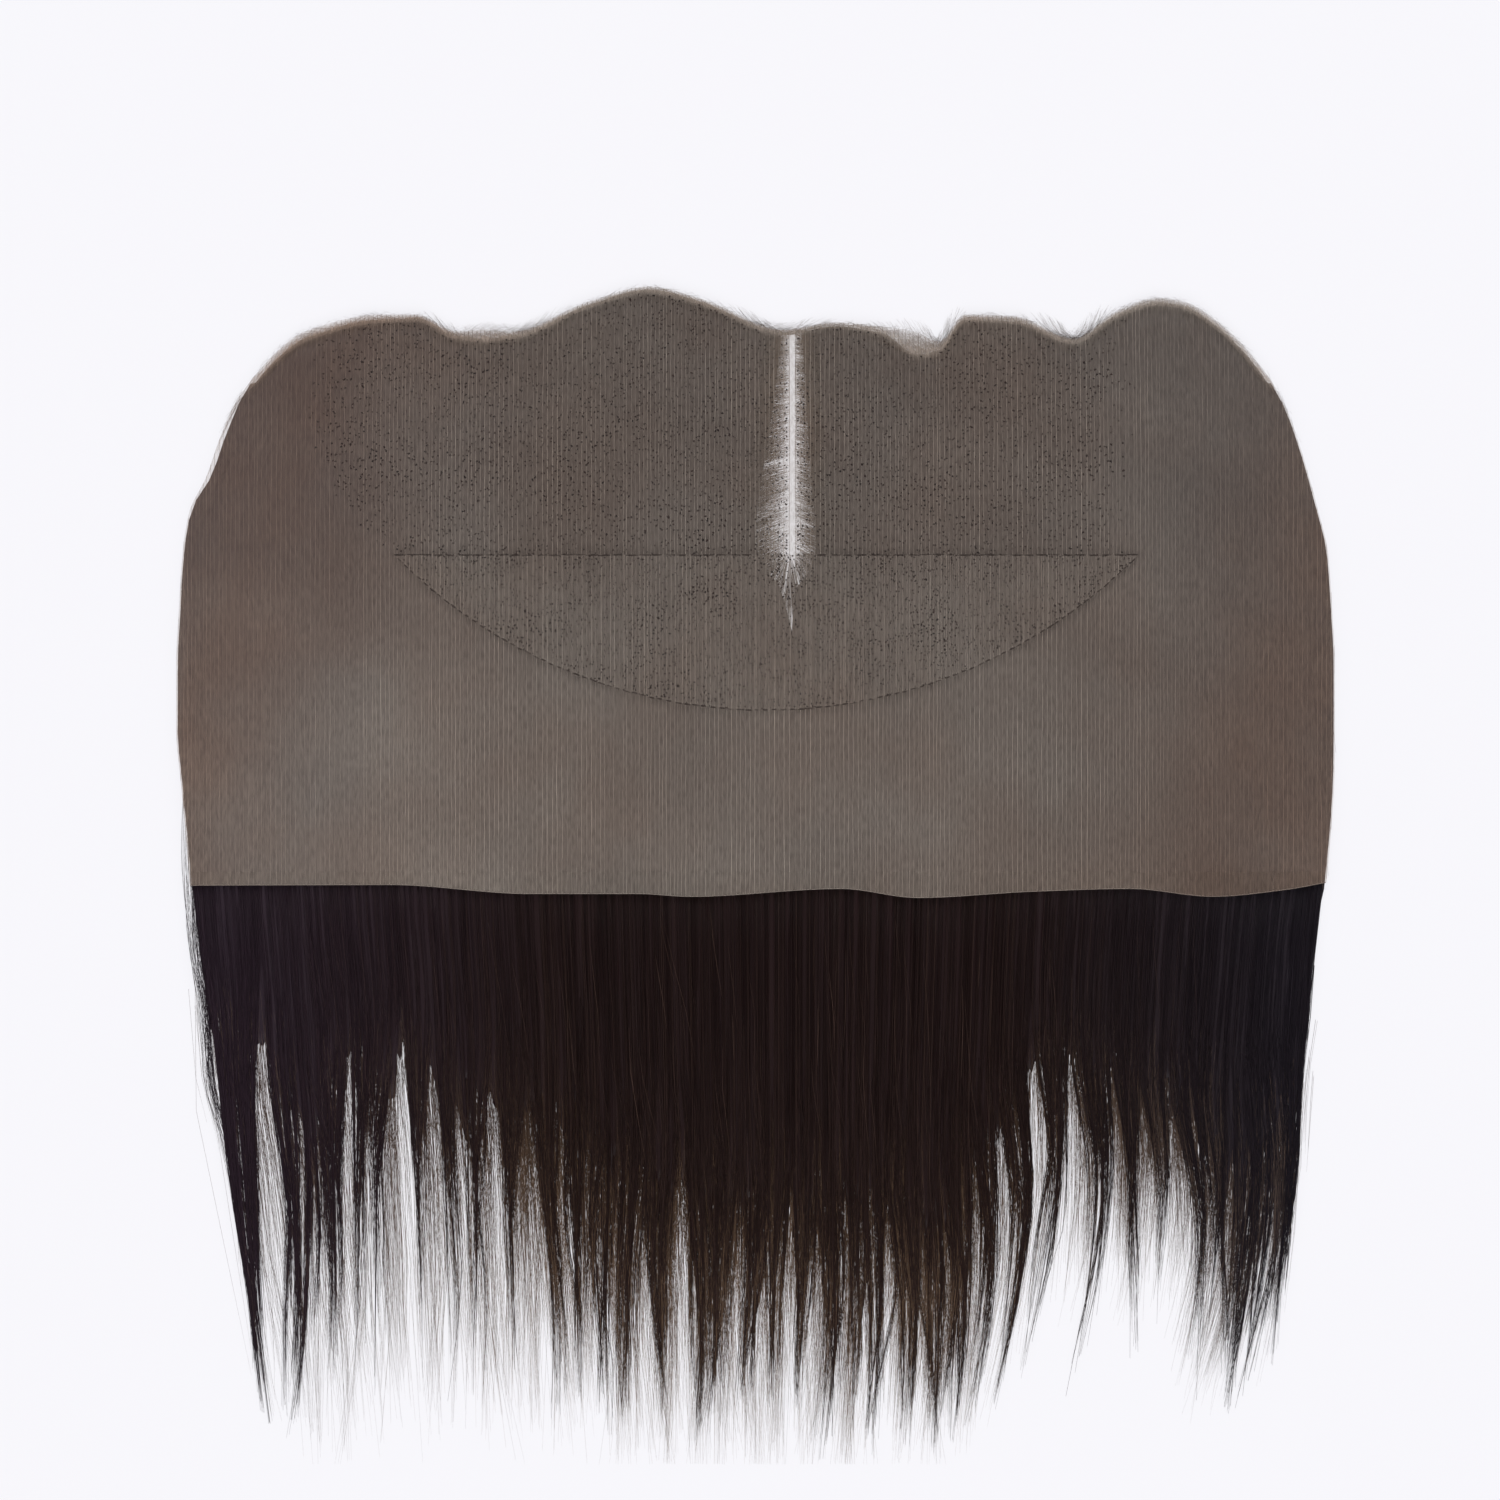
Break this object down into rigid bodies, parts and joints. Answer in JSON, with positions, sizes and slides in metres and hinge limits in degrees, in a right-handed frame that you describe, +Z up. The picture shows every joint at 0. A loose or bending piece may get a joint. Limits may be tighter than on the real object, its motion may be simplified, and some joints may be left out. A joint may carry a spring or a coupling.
{
  "type": "lace frontal hairpiece",
  "caption": "Lace frontal hairpiece lying flat, scalp side up: fine net base with a parting panel over straight dark hair, parted in the middle, with locks falling below the hem.",
  "frame": {"origin": "middle of the footprint, on the surface that the hairpiece lies on", "axes": "+X across, to the wearer's other ear as laid; +Y from the hem to the front hairline; +Z up, out of the scalp side of the net"},
  "size_m": [0.33, 0.3356, 0.0076],
  "materials": {
    "lace_net": "fine grey-brown net, matte, see-through",
    "panel_net": "second layer of the same net with small dark knots",
    "hair": "straight brown-black hair with a soft sheen"
  },
  "bodies": {
    "root": {"lace_base": "lace_net", "parting_panel": "panel_net", "hair_left": "hair", "hair_right": "hair"}
  },
  "joints": []
}
